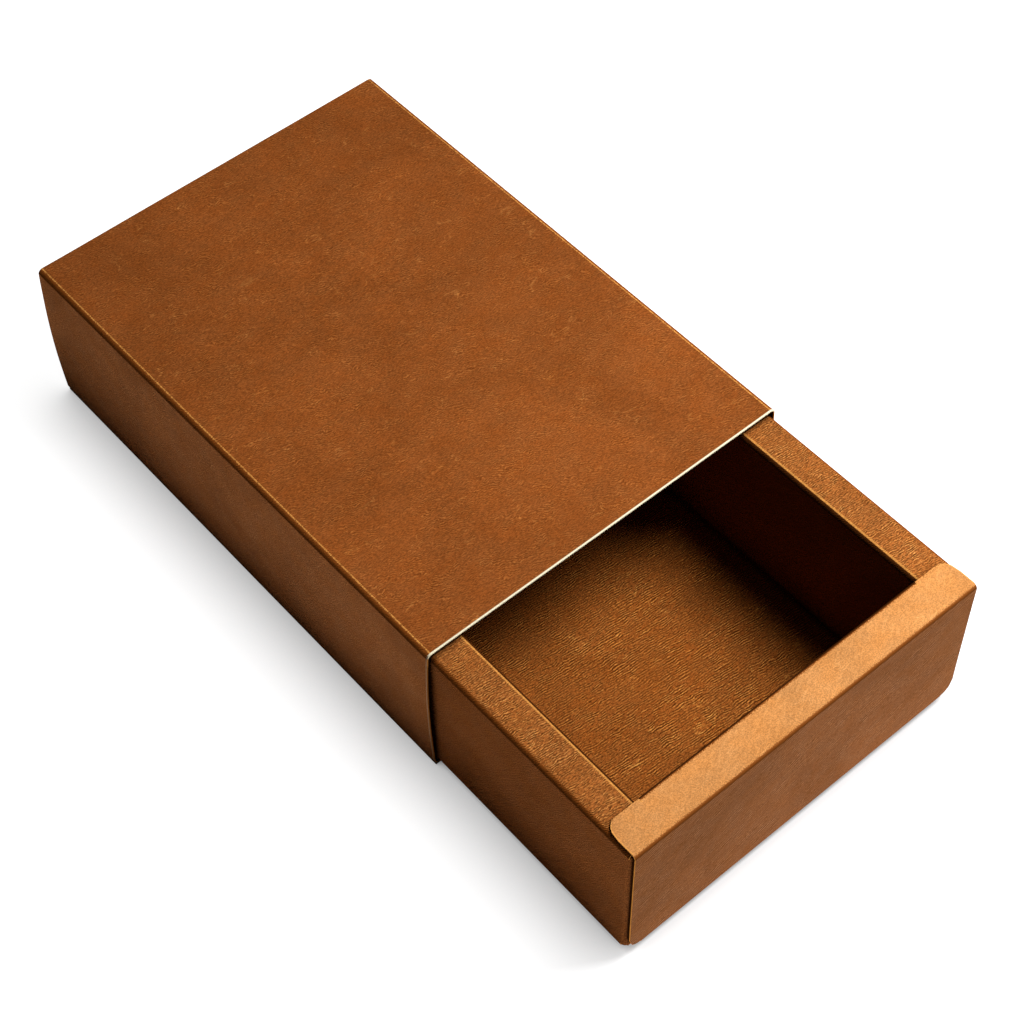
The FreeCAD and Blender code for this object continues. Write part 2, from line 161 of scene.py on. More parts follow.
class GiftBoxFinish(bpy.types.PropertyGroup):
    """Colours and grain of the board."""

    # Painted light and shade: the level and upright faces of one board have their own colours,
    # and the gold of the end rims carries painted sheen.
    sleeve_top: colour_setting("Sleeve top", "Upper face of the sleeve", (0.285, 0.081, 0.0178))
    sleeve_side: colour_setting("Sleeve side", "Sides of the sleeve", (0.375, 0.137, 0.048))
    side_rim: colour_setting("Side rim", "Left and right rims of the tray", (0.375, 0.122, 0.028))
    side_wall: colour_setting("Side wall", "Left and right walls", (0.297, 0.098, 0.029))
    end_rim: colour_setting("End rim", "Golden front and back rims", (0.665, 0.295, 0.095))
    end_wall: colour_setting("End wall", "Front and back walls", (0.268, 0.108, 0.0435))
    # Painted shade: the tray's hollow is coloured darker than its board.
    inner_wall: colour_setting("Inner wall", "Hollow of the tray", (0.17, 0.063, 0.014))
    floor: colour_setting("Tray floor", "Floor of the tray", (0.298, 0.088, 0.0165))
    fibre: colour_setting("Fibre", "Tint of the raised fibres", (2.1, 2.8, 3.2))
    groove: colour_setting("Groove", "Tint between the fibres", (0.26, 0.21, 0.17))
    pale_fibre: colour_setting("Pale fibre", "Tint of the ends' fibres", (1.9, 2.2, 2.6))
    pale_groove: colour_setting("Pale groove", "Tint between them", (0.36, 0.29, 0.22))
    # The crease band is burnished and, where it turns to the side, painted shade.
    fold: colour_setting("Fold", "Burnished band of a crease", (0.27, 0.072, 0.011))
    # The rubbed crease line is partly cracked fibres, partly a painted highlight.
    rub_and_highlight: colour_setting("Rub", "Line where a crease is rubbed light", (0.80, 0.35, 0.08))
    # Painted shadow: near-black put on the lower part of the cut edges and just inside the inner
    # creases.
    shadow_black: colour_setting("Liner", "Dark inner side of the cut board", (0.040, 0.012, 0.003))
    # Painted light and shade: the cores of level and upright cuts are coloured apart.
    sleeve_core: colour_setting("Sleeve core", "Core at the sleeve's mouth", (1.0, 0.92, 0.66))
    tray_core: colour_setting("Tray core", "Core at the tray's cut edges", (0.95, 0.42, 0.10))
    mouth_core: colour_setting("Mouth core", "Core down the sleeve's sides", (0.50, 0.20, 0.05))
    upright_core: colour_setting("Upright core", "Core down the tray's sides", (1.0, 0.40, 0.08))
    # Where the painted shadow on the lower part of a cut edge begins.
    sleeve_shadow_from: share_setting(
        "Sleeve lining", "Depth in the sleeve's board where its dark side begins", 0.42)
    tray_lining: share_setting(
        "Tray lining", "Depth in the tray's board where its dark side begins", 0.3)
    ember: colour_setting("Ember", "Warmer tint of the blots", (1.0, 0.86, 0.62))
    roughness: share_setting("Roughness", "How matt the board is", 0.62)
    cut_roughness: share_setting("Cut roughness", "How matt the cut edges are", 0.8)
    gloss: share_setting("Gloss", "Strength of the board's dull gloss", 0.0)
    fibre_width: length_setting("Fibre width", "From one fibre to the next", 0.00072)
    fibre_depth: length_setting("Fibre depth", "Depth of the fibre grain", 0.00008)
    # Painted shade: the board is darkened by occlusion in corners and gaps beside what touches
    # it.
    gap_shade_reach: length_setting(
        "Grime reach", "How far the board is darkened beside what touches it", 0.0024)
    gap_shade: share_setting("Grime", "How much it is darkened there", 0.85)


class GiftBoxStage(bpy.types.PropertyGroup):
    """Floor, lamps and camera."""

    floor_size: length_setting("Floor size", "Side of the square floor", 6.0)
    floor_bounce: number_setting(
        "Floor bounce", "Light that the floor throws back at the box", 1.6)
    floor_shown: number_setting("Floor shown", "Lamp light that is seen on the floor", 0.5)
    floor_white: number_setting("Floor white", "White of the open floor", 1.0)
    shadow_reach: length_setting(
        "Shadow reach", "Width of the soft shadow at the box's foot", 0.0195)
    fill: number_setting("Fill", "Strength of the even light all round", 0.025)
    key_power: number_setting("Key power", "Power of the large lamp", 3.75, unit="POWER")
    key_place: place_setting("Key place", "Where the large lamp hangs", (0.245, -0.204, 0.495))
    key_size: length_setting("Key size", "Side of the large lamp", 0.235)
    eye: place_setting("Eye", "Where the camera stands", (-0.23604, -0.33027, 0.51125))
    look_azimuth: angle_setting("Azimuth", "Turn of the view from +Y towards +X", 39.89)
    look_down: angle_setting("Look down", "Angle of the view below the horizon", 53.13)
    look_roll: angle_setting("Roll", "Lean of the camera about its own axis", -1.08)
    lens: number_setting("Lens", "Focal length on a 36 mm wide sensor", 78.51, unit="CAMERA")


# ---------------------------------------------------------------- folded board

class Row:
    """One line across a strip: its place in section, its outward normal and its travel."""

    def __init__(self, point, heading, travel):
        self.point = point.copy()
        self.outward = Vector((math.sin(heading), -math.cos(heading)))
        self.travel = travel


class Pen:
    """Draws the outer face of a strip in section, with the outside on its right."""

    def __init__(self, start, heading=0.0, step=0.003):
        self.point = Vector(start)
        self.heading = heading
        self.step = step
        self.travel = 0.0
        self.folds = []

    def row(self):
        return Row(self.point, self.heading, self.travel)

    def advance(self, length):
        self.point += Vector((math.cos(self.heading), math.sin(self.heading))) * length

    def run(self, length):
        """Go straight on, with shorter steps at both ends."""
        rows = [self.row()]
        begin = self.travel
        for stop in graded(0.0, length, self.step)[1:]:
            self.advance(begin + stop - self.travel)
            self.travel = begin + stop
            rows.append(self.row())
        return rows

    def bend(self, radius, angle, steps):
        """Turn to the left on an arc."""
        rows = [self.row()]
        turn = angle / steps
        for _ in range(steps):
            self.heading += turn / 2
            self.advance(2 * radius * math.sin(turn / 2))
            self.heading += turn / 2
            self.travel += radius * turn
            rows.append(self.row())
        return rows

    def crease(self, radius=CREASE_RADIUS, steps=8):
        """Fold the board to the left by a quarter turn."""
        rows = self.bend(radius, QUARTER_TURN, steps)
        self.folds.append(self.travel - radius * QUARTER_TURN / 2)
        return rows

    def bow(self, length, rise):
        """Go on to a point straight ahead, bulging outwards on the way."""
        radius = length * length / (8 * rise) + rise / 2
        half_angle = math.asin(length / 2 / radius)
        self.heading -= half_angle
        rows = self.bend(radius, 2 * half_angle, math.ceil(length / self.step))
        self.heading -= half_angle
        return rows

    def branch(self):
        """A second pen at the same place, for a strip that splits."""
        twin = Pen(self.point, self.heading, self.step)
        twin.travel = self.travel
        return twin


# The first stops from an edge or a crease, the width that they take up, and how many stops
# a stretch too short for them gets on that width.
EDGE_STOPS = (0.0, 0.00025, 0.0007)
EDGE_WIDTH = 0.0015
SHORT_STOPS = 1.5


def graded(low, high, step):
    """Stops from low to high, close together near both ends."""
    length = high - low
    if length < 4 * EDGE_WIDTH:
        count = max(1, math.ceil(length / EDGE_WIDTH * SHORT_STOPS))
        return [low + length * k / count for k in range(count + 1)]
    inner = length - 2 * EDGE_WIDTH
    count = max(1, math.ceil(inner / step))
    middle = [EDGE_WIDTH + inner * k / count for k in range(count + 1)]
    last = [length - gap for gap in reversed(EDGE_STOPS)]
    return [low + stop for stop in (*EDGE_STOPS, *middle, *last)]


def rounded_limit(limit, radius, gap):
    """Half the length of a strip at a gap from an edge whose corners are rounded."""
    if gap >= radius:
        return limit
    return limit - radius + math.sqrt(max(0.0, radius ** 2 - (radius - gap) ** 2))


# Columns nearer than SAME_COLUMN are one, and points nearer than SAME_PLACE are merged. A
# place is FAR_AWAY from lines that its strip doesn't have.
SAME_COLUMN = 1e-7
SAME_PLACE = 1e-6
FAR_AWAY = 1.0


def at_row(limit, row):
    """The end of a span at a row, given as a number or as a function of the row."""
    return limit(row) if callable(limit) else limit


class Strip:
    """A strip of board: a pen's rows in blocks, each cut to its own spans along the fold."""

    def __init__(self, pen):
        self.step = pen.step
        self.folds = pen.folds
        self.blocks = []
        self.columns = set()
        self.inside_from = math.inf

    def add(self, rows, *spans, joined_start=False, joined_sides=False):
        """Add rows cut to spans. Joined ends meet the board of another strip."""
        self.blocks.append((rows, spans, joined_start, joined_sides))
        for low, high in spans:
            for row in (rows[0], rows[-1]):
                self.columns.update(graded(at_row(low, row), at_row(high, row), self.step))

    def add_both(self, rows, reach, **joined):
        """Add rows that reach as far on both sides of the middle."""
        self.add(rows, (lambda row: -at_row(reach, row), reach), **joined)

    def tidy_columns(self):
        """The columns in order, without those that nearly coincide."""
        kept = []
        for column in sorted(self.columns):
            if not kept or column - kept[-1] > SAME_COLUMN:
                kept.append(column)
        return kept


# A slow hollow is made of a broad wave and a finer one: their shares, how much finer that
# one is, and where in the noise it is taken from.
BROAD_SHARE, FINER_SHARE = 0.7, 0.3
FINER = 2.3
FINER_FROM = Vector((7, 3, 5))


def ripple_at(place, board):
    """Depth of the slow hollows at a place, never above the flat face."""
    spot = place / board.ripple_length
    wave = noise.noise(spot) * BROAD_SHARE + noise.noise(spot * FINER + FINER_FROM) * FINER_SHARE
    return board.ripple * min(1.0, max(0.0, 0.5 + wave))


def distance_to(lines):
    """A function that gives a place's distance from the nearest end of a line."""
    ends = [vertex.co.copy() for line in lines for vertex in line.verts]
    tree = kdtree.KDTree(len(ends))
    for number, end in enumerate(ends):
        tree.insert(end, number)
    tree.balance()
    return lambda place: tree.find(place)[2] if ends else FAR_AWAY


class Draft:
    """The mesh of a strip in the making, and what its vertices and edges carry."""

    def __init__(self, strip, board):
        self.strip = strip
        self.board = board
        self.mesh = bmesh.new()
        self.outward = self.mesh.verts.layers.float_vector.new("outward")
        new_measure = self.mesh.verts.layers.float.new
        self.joined = new_measure("joined")
        self.from_fold = new_measure("from_fold")
        self.upward = new_measure("upward")
        self.inside = new_measure("inside")
        self.depth = new_measure("depth")
        self.from_cut = new_measure("from_cut")
        self.rounding = self.mesh.edges.layers.float.new("bevel_weight_edge")

    def lay(self, place):
        """Lay out the outer face. place turns (along, across, up) into a point."""
        columns = self.strip.tidy_columns()
        for rows, spans, joined_start, joined_sides in self.strip.blocks:
            for low, high in spans:
                lines = []
                for row in rows:
                    ends = (at_row(low, row), at_row(high, row))
                    starts = joined_start and row is rows[0]
                    line = []
                    for column in columns:
                        along = min(max(column, ends[LOW]), ends[HIGH])
                        vertex = self.add_vertex(row, along, place)
                        vertex[self.inside] = float(row.travel > self.strip.inside_from)
                        vertex[self.joined] = float(starts or (joined_sides and along in ends))
                        line.append(vertex)
                    lines.append(line)
                self.fill(lines)
        bmesh.ops.remove_doubles(self.mesh, verts=self.mesh.verts, dist=SAME_PLACE)
        loose = [vertex for vertex in self.mesh.verts if not vertex.link_faces]
        bmesh.ops.delete(self.mesh, geom=loose, context="VERTS")

    def add_vertex(self, row, along, place):
        vertex = self.mesh.verts.new(place(Vector((along, row.point.x, row.point.y)), 1.0))
        vertex[self.outward] = place(Vector((0.0, row.outward.x, row.outward.y)), 0.0)
        vertex[self.upward] = vertex[self.outward].z
        vertex[self.from_fold] = min(abs(row.travel - fold) for fold in self.strip.folds)
        return vertex

    def fill(self, lines):
        """Fill the grid between lines of vertices with faces."""
        for lower, upper in zip(lines, lines[1:]):
            for k in range(len(lower) - 1):
                self.mesh.faces.new((lower[k], lower[k + 1], upper[k + 1], upper[k]))

    def is_seam(self, line):
        """Whether another strip of the same sheet goes on at this edge."""
        first, second = line.verts
        return bool(first[self.joined] and second[self.joined])

    def thicken(self):
        """Give the face its hollows, add the back of the board and close its edges."""
        borders = [line for line in self.mesh.edges if line.is_boundary]
        cut_distance = distance_to([line for line in borders if not self.is_seam(line)])
        seam_distance = distance_to([line for line in borders if self.is_seam(line)])
        faces = list(self.mesh.faces)
        back = {}
        for vertex in list(self.mesh.verts):
            vertex[self.from_cut] = cut_distance(vertex.co)
            back[vertex] = self.hollow(vertex, seam_distance(vertex.co))
        for face in faces:
            self.mesh.faces.new([back[vertex] for vertex in reversed(face.verts)])
        for line in borders:
            first, second = line.verts
            side = self.mesh.faces.new((first, second, back[second], back[first]))
            side.material_index = CUT_SLOT
            far_line = self.mesh.edges.get((back[first], back[second]))
            if self.is_seam(line):
                line.smooth = far_line.smooth = False
            else:
                line[self.rounding] = far_line[self.rounding] = 1.0
        bmesh.ops.recalc_face_normals(self.mesh, faces=self.mesh.faces)

    def hollow(self, vertex, from_seam):
        """Press a vertex in by the slow hollows and return its twin on the back."""
        stiff = self.board.stiff_width
        give = min(stiff, vertex[self.from_fold], from_seam) / stiff
        eased = give * give * (3 - 2 * give)
        vertex.co -= vertex[self.outward] * ripple_at(vertex.co, self.board) * eased
        twin = self.mesh.verts.new(vertex.co - vertex[self.outward] * BOARD)
        for layer in (self.joined, self.from_fold, self.upward, self.inside, self.from_cut):
            twin[layer] = vertex[layer]
        twin[self.depth] = 1.0
        return twin


def put(name, data):
    """Add an object to the scene."""
    thing = bpy.data.objects.new(name, data)
    bpy.context.scene.collection.objects.link(thing)
    return thing


def fold_strip(name, strip, place, board):
    """Make the piece of a strip, with its closed mesh."""
    draft = Draft(strip, board)
    draft.lay(place)
    draft.thicken()
    mesh = bpy.data.meshes.new(name)
    draft.mesh.to_mesh(mesh)
    draft.mesh.free()
    for polygon in mesh.polygons:
        polygon.use_smooth = True
    return put(name, mesh)


def soften(piece, softness):
    """Round the cut edges a little and keep the flat faces flat in the light."""
    rounding = piece.modifiers.new("soft cut edges", "BEVEL")
    rounding.limit_method = "WEIGHT"
    rounding.width = softness
    rounding.segments = 2
    rounding.material = CUT_SLOT
    normals = piece.modifiers.new("flat faces", "WEIGHTED_NORMAL")
    normals.weight = 100
    normals.keep_sharp = True


# ---------------------------------------------------------------- materials

# Inputs and output of a Mix node for colours, which share their names with others.
MIX_FACTOR, MIX_FIRST, MIX_SECOND = 0, 6, 7
MIX_RESULT = 2


def new_material(name):
    """A node material and its helper for adding nodes."""
    material = bpy.data.materials.new(name)
    material.use_nodes = True
    return material, Nodes(material.node_tree)


class Nodes:
    """Short ways to add and join the nodes of one tree."""

    def __init__(self, tree):
        self.tree = tree
        self.shader = tree.nodes.get("Principled BSDF")

    def add(self, kind, **settings):
        node = self.tree.nodes.new(kind)
        for key, value in settings.items():
            setattr(node, key, value)
        return node

    def join(self, output, socket):
        self.tree.links.new(output, socket)

    def plug(self, socket, value):
        """Join an input to an output, or set it to a plain value."""
        if isinstance(value, bpy.types.NodeSocket):
            self.join(value, socket)
        else:
            socket.default_value = value

    def feed(self, node, **values):
        """Set or join inputs by name, with underscores for spaces."""
        for key, value in values.items():
            self.plug(node.inputs[key.replace("_", " ")], value)
        return node

    def place(self, drawn=(1, 1, 1)):
        """Object coordinates. What is laid out in them is drawn out along X, Y and Z."""
        where = self.add("ShaderNodeTexCoord")
        stretched = self.add("ShaderNodeMapping", vector_type="TEXTURE")
        self.feed(stretched, Vector=where.outputs["Object"], Scale=drawn)
        return stretched.outputs["Vector"]

    def noise(self, vector, scale, detail=3.0, rough=0.5, warp=0.0):
        """Soft random values about 0.5. scale is about how many lie on a metre."""
        node = self.add("ShaderNodeTexNoise")
        self.feed(
            node, Vector=vector, Scale=scale, Detail=detail, Roughness=rough, Distortion=warp)
        return node.outputs["Fac"]

    def spread(self, value, low, high, bottom=0.0, top=1.0):
        """A smooth step from bottom, where value is low, to top, where it is high."""
        node = self.add("ShaderNodeMapRange", interpolation_type="SMOOTHSTEP")
        self.feed(
            node, Value=value, From_Min=low, From_Max=high, To_Min=bottom, To_Max=top)
        return node.outputs["Result"]

    def math(self, operation, *values):
        node = self.add("ShaderNodeMath", operation=operation)
        for socket, value in zip(node.inputs, values):
            self.plug(socket, value)
        return node.outputs["Value"]

    def product(self, *values):
        result = values[0]
        for value in values[1:]:
            result = self.math("MULTIPLY", result, value)
        return result

    def scaled(self, colour, factor):
        """A colour multiplied by a number."""
        node = self.add("ShaderNodeVectorMath", operation="SCALE")
        self.plug(node.inputs[0], colour)
        self.plug(node.inputs["Scale"], factor)
        return node.outputs["Vector"]

    def blend(self, factor, first, second, kind="MIX"):
        """Two colours mixed by a factor, or the first tinted with the second."""
        node = self.add("ShaderNodeMix", data_type="RGBA", blend_type=kind)
        self.plug(node.inputs[MIX_FACTOR], factor)
        for number, colour in ((MIX_FIRST, first), (MIX_SECOND, second)):
            plain = not isinstance(colour, bpy.types.NodeSocket)
            self.plug(node.inputs[number], (*colour, 1.0) if plain else colour)
        return node.outputs[MIX_RESULT]

    def measure(self, name):
        """A value that the mesh carries."""
        return self.add("ShaderNodeAttribute", attribute_name=name).outputs["Fac"]

    def gap_shaded(self, colour, finish):
        """A colour darkened in the corners and gaps between boards: painted shade, drawn from
        occlusion.
        """
        gap = self.add("ShaderNodeAmbientOcclusion", samples=4)
        self.feed(gap, Distance=finish.gap_shade_reach)
        openness = self.spread(gap.outputs["AO"], 0.5, 0.95, 1 - finish.gap_shade, 1.0)
        return self.scaled(colour, openness)

    def bump(self, height, distance):
        node = self.feed(self.add("ShaderNodeBump"), Height=height, Distance=distance)
        return node.outputs["Normal"]

    def matt(self, colour, normal, roughness, gloss):
        """Give the shader its colour, relief and dull surface."""
        self.feed(self.shader, Base_Color=colour, Normal=normal, Roughness=roughness)
        self.shader.inputs["Specular IOR Level"].default_value = gloss


ALL_CREASES, INNER_CREASES, NO_CREASES = "all", "inner", "none"


class Look(NamedTuple):
    """How one kind of board is finished. Its colours are named as in GiftBoxFinish."""

    # top and wall: colours of one board set apart by painted light and shade
    top: str  # colour of level faces
    across: tuple  # direction across the fibres
    spacing: float  # from fibre to fibre, in fibre widths
    wander: float  # how far the fibres stray
    fine: float  # strength of the finest grain
    wrinkles: float  # strength of the fibres
    hairs: float = 0.25  # how much the loose fibres stand out
    drawn: tuple = (2.5, 1, 1.2)  # how the finest grain is drawn out
    light: str = "fibre"  # tint of the fibres
    dark: str = "groove"  # tint between them
    # a rubbed crease line is partly a painted highlight
    rubbed: str = None  # which creases are rubbed light; None has no creases
    wall: str = None  # colour of upright faces
    on_walls: float = 1.0  # share of the fibres' strength there
    # foot is painted shade: the walls darken downwards
    foot: float = 0.0  # how much the walls darken downwards
    band: tuple = None  # slopes where the burnished band of a crease begins and is full
    fray: float = None  # how ragged that band is


LOOKS = {
    "sleeve": Look(
        top="sleeve_top", wall="sleeve_side", across=(0.4, 0.8, 0.6), spacing=0.75, wander=5.0,
        fine=0.26, wrinkles=0.45, on_walls=0.6, hairs=0.3, foot=0.24, band=(0.97, 0.93),
        fray=0.08, rubbed=ALL_CREASES),
    "side": Look(
        top="side_rim", wall="side_wall", across=(0.1, 0.8, 0.6), spacing=0.68, wander=3.0,
        fine=0.45, wrinkles=1.0, on_walls=0.2, foot=0.1, band=(0.98, 0.90), fray=0.12,
        rubbed=INNER_CREASES),
    "end": Look(
        top="end_rim", wall="end_wall", light="pale_fibre", dark="pale_groove",
        across=(-0.25, 0.4, 0.9), spacing=1.2, wander=2.0, fine=0.24, wrinkles=0.1,
        on_walls=10.0, drawn=(1.2, 1, 1), band=(0.92, 0.70), fray=0.35, rubbed=NO_CREASES),
    "floor": Look(
        top="floor", across=(0.1, 1.0, 0.2), spacing=0.95, wander=2.2, fine=0.5, wrinkles=1.2,
        hairs=0.4),
}


class KraftFace:
    """Brown face of the board: mottled, fibrous, burnished and rubbed at its folds, with painted
    light, shade and highlights.

    Each coat takes the colour so far and returns it with its share added. Heights and bands
    are in metres, and a grain is the number of its marks on a metre.
    """

    foot_shade_height = 0.045
    worn_and_lit_band = (0.0006, 0.00035)
    edge_highlight_band = (0.0004, 0.0002)
    cloud_grain = 30
    patch_grain = 120
    blot_grain = 150
    gap_grain = 170
    curl_grain = 360

    def __init__(self, name, look, finish):
        self.material, self.nodes = new_material(name)
        self.look = look
        self.finish = finish
        self.plain = self.nodes.place()
        split = self.nodes.add("ShaderNodeSeparateXYZ")
        self.parts = self.nodes.feed(split, Vector=self.plain).outputs
        self.upward = self.nodes.measure("upward")
        self.inside = self.nodes.measure("inside")
        self.from_cut = self.nodes.measure("from_cut")
        self.fine = self.nodes.noise(
            self.nodes.place(look.drawn), 2.6 / finish.fibre_width, 2, 0.6)
        self.frayed = self.frayed_slope() if look.rubbed else None
        self.wave = self.fibre_waves()
        self.crest = self.nodes.spread(self.wave, 0.25, 0.95)
        self.hollow = self.nodes.spread(self.wave, -0.2, -0.95)

    def fibre_waves(self):
        """Rows of wavy fibres as a wave from -1 to 1, broken up into short lengths."""
        nodes, look = self.nodes, self.look
        width = self.finish.fibre_width * look.spacing
        phase = nodes.add("ShaderNodeVectorMath", operation="DOT_PRODUCT")
        nodes.join(self.plain, phase.inputs[0])
        phase.inputs[1].default_value = Vector(look.across).normalized() / width
        wander = nodes.noise(self.plain, 0.2 / width, 2, 0.5)
        turns = nodes.math("MULTIPLY_ADD", wander, look.wander, phase.outputs["Value"])
        wave = nodes.math("SINE", nodes.product(turns, FULL_TURN))
        lengths = nodes.noise(nodes.place((3, 1, 1.4)), 0.75 / width, 2)
        return nodes.product(wave, nodes.spread(lengths, 0.36, 0.52))

    def loose_hairs(self):
        """A few thin curved fibres: 1 on them, 0 elsewhere."""
        nodes = self.nodes
        curls = nodes.noise(nodes.place((2.2, 1, 1.2)), self.curl_grain, 1, 0.4, 0.6)
        line = nodes.math("ABSOLUTE", nodes.math("SUBTRACT", curls, 0.5))
        kept = nodes.noise(nodes.place((1.4, 1, 1)), self.gap_grain, 2)
        return nodes.product(
            nodes.spread(line, 0.024, 0.006), nodes.spread(kept, 0.56, 0.64))

    def plain_coat(self):
        """The board's colour with painted light and shade: level faces and walls coloured apart,
        the walls darker downwards and the tray's hollow darker.
        """
        nodes, look, finish = self.nodes, self.look, self.finish
        top = getattr(finish, look.top)
        if not look.rubbed:
            return top
        # Painted shade: the walls darken towards the floor.
        foot = nodes.spread(
            self.parts["Z"], 0.0, self.foot_shade_height, 1 - look.foot, 1 + look.foot / 2)
        wall = nodes.scaled(getattr(finish, look.wall), foot)
        # Painted light and shade: level faces and walls take different colours by the way they
        # face.
        colour = nodes.blend(nodes.spread(self.upward, 0.1, 0.8), wall, top)
        # Painted shade: faces down inside the tray take the darker inner colour.
        inside_shade = nodes.product(self.inside, nodes.spread(self.upward, 0.9, 0.6), 0.8)
        return nodes.blend(inside_shade, colour, finish.inner_wall)

    def mottle(self, colour):
        """Warm blots, broad clouds and the finest grain."""
        nodes = self.nodes
        blots = nodes.noise(self.plain, self.blot_grain, 3, 0.6)
        blots = nodes.spread(blots, 0.3, 0.7)
        clouds = nodes.noise(self.plain, self.cloud_grain, 3, 0.65, 0.7)
        clouds = nodes.spread(clouds, 0.32, 0.68)
        grain = nodes.spread(self.fine, 0.32, 0.68, 1 - self.look.fine, 1 + self.look.fine)
        colour = nodes.blend(nodes.product(blots, 0.5), colour, self.finish.ember, "MULTIPLY")
        colour = nodes.scaled(colour, nodes.math("MULTIPLY_ADD", clouds, 0.2, 0.9))
        return nodes.scaled(colour, grain)

    def draw_fibres(self, colour):
        """Dark grooves, light fibres and a few loose hairs, in patches."""
        nodes, look = self.nodes, self.look
        light, dark = getattr(self.finish, look.light), getattr(self.finish, look.dark)
        patches = nodes.noise(self.plain, self.patch_grain, 3, 0.6, 0.4)
        patches = nodes.spread(patches, 0.38, 0.66, 0.35, 1.0)
        hairs = nodes.product(self.loose_hairs(), look.hairs)
        if look.rubbed:
            on_walls = nodes.spread(self.upward, 0.2, 0.8, look.on_walls, 1.0)
            patches = nodes.product(patches, on_walls)
            hairs = nodes.product(hairs, nodes.spread(self.upward, 0.2, 0.8, 0.25, 1.0))
        grooves = nodes.product(self.hollow, patches, look.wrinkles * 0.85)
        fibres = nodes.product(self.crest, patches, look.wrinkles * 0.8)
        colour = nodes.blend(grooves, colour, dark, "MULTIPLY")
        colour = nodes.blend(fibres, colour, light, "MULTIPLY")
        return nodes.blend(hairs, colour, light, "MULTIPLY")

    def burnish(self, colour):
        """A dark band along each crease, burnished and painted shade where it turns to the side,
        and a line of painted shade just inside it.
        """
        nodes, look, finish = self.nodes, self.look, self.finish
        band = nodes.spread(self.frayed, *look.band)
        if look.rubbed == NO_CREASES:
            folded_in = nodes.product(self.inside, nodes.spread(self.frayed, 1.0, 0.95))
            band = nodes.math("MAXIMUM", band, folded_in)
            # Painted highlight along the rim's cut edges.
            colour = nodes.blend(self.rim_edge_highlight(), colour, finish.tray_core)
        band = nodes.product(band, nodes.spread(self.upward, 0.0, 0.35), 0.95)
        # Painted shade: the band darkens as the crease turns to the side.
        fold = nodes.scaled(finish.fold, nodes.spread(self.upward, 0.2, 0.85, 0.42, 1.0))
        colour = nodes.blend(band, colour, fold)
        # Painted shade: a near-black line just inside an inner crease.
        shade = nodes.product(
            nodes.spread(self.upward, 0.93, 0.86), nodes.spread(self.upward, 0.0, 0.3),
            self.inside, 0.85)
        return nodes.blend(shade, colour, finish.shadow_black)

    def frayed_slope(self):
        """The slope with a ragged grain."""
        nodes, fray = self.nodes, self.look.fray
        return nodes.math(
            "MULTIPLY_ADD", self.fine, fray, nodes.math("SUBTRACT", self.upward, fray / 2))

    def rim_edge_highlight(self):
        """A thin painted highlight along the cut edges of a flat rim."""
        nodes = self.nodes
        return nodes.product(
            nodes.spread(self.from_cut, *self.edge_highlight_band),
            nodes.math("SUBTRACT", 1.0, self.inside), nodes.spread(self.upward, 0.9, 1.0), 0.8)

    def rub_and_highlight_all(self, colour):
        """Creases rubbed light, partly a painted highlight, and wear along the mouth at the front
        that also paints the bright lit line there.
        """
        nodes, finish = self.nodes, self.finish
        rub_and_highlight = nodes.product(
            nodes.spread(self.frayed, 0.96, 0.98), nodes.spread(self.upward, 0.9999, 0.998),
            nodes.spread(self.fine, 0.36, 0.6, 0.25, 1.0))
        # Partly wear, partly painted highlight: a cream band along the mouth's cut edge at the
        # front.
        worn_and_lit = nodes.product(
            nodes.spread(self.from_cut, *self.worn_and_lit_band),
            nodes.spread(self.upward, 0.5, 1.0, 0.15, 1.0),
            nodes.spread(self.parts["Y"], 0.01, -0.01))
        colour = nodes.blend(rub_and_highlight, colour, finish.rub_and_highlight)
        return nodes.blend(worn_and_lit, colour, finish.sleeve_core)

    def rub_and_highlight_inner(self, colour):
        """The crease over the tray's hollow rubbed light, partly a painted highlight."""
        nodes = self.nodes
        rub_and_highlight = nodes.product(
            self.inside, nodes.spread(self.upward, 0.89, 0.93),
            nodes.spread(self.upward, 1.0, 0.998), nodes.spread(self.fine, 0.36, 0.6, 0.65, 1.0))
        return nodes.blend(rub_and_highlight, colour, self.finish.rub_and_highlight)

    def make(self):
        nodes, look, finish = self.nodes, self.look, self.finish
        colour = self.draw_fibres(self.mottle(self.plain_coat()))
        if look.rubbed:
            colour = self.burnish(colour)
        if look.rubbed == ALL_CREASES:
            colour = self.rub_and_highlight_all(colour)
        if look.rubbed == INNER_CREASES:
            colour = self.rub_and_highlight_inner(colour)
        relief = nodes.math("MULTIPLY_ADD", self.fine, look.fine, self.wave)
        rough = nodes.spread(
            self.crest, 0, 1, finish.roughness + 0.08, finish.roughness - 0.08)
        nodes.matt(
            nodes.gap_shaded(colour, finish),
            nodes.bump(relief, finish.fibre_depth * look.wrinkles), rough, finish.gloss)
        return self.material


# Marks on a metre of cut board, and how softly the painted shadow on its lower part begins.
LAYER_GRAIN, STAIN_GRAIN = 2600, 220
SHADOW_BLUR = 0.2


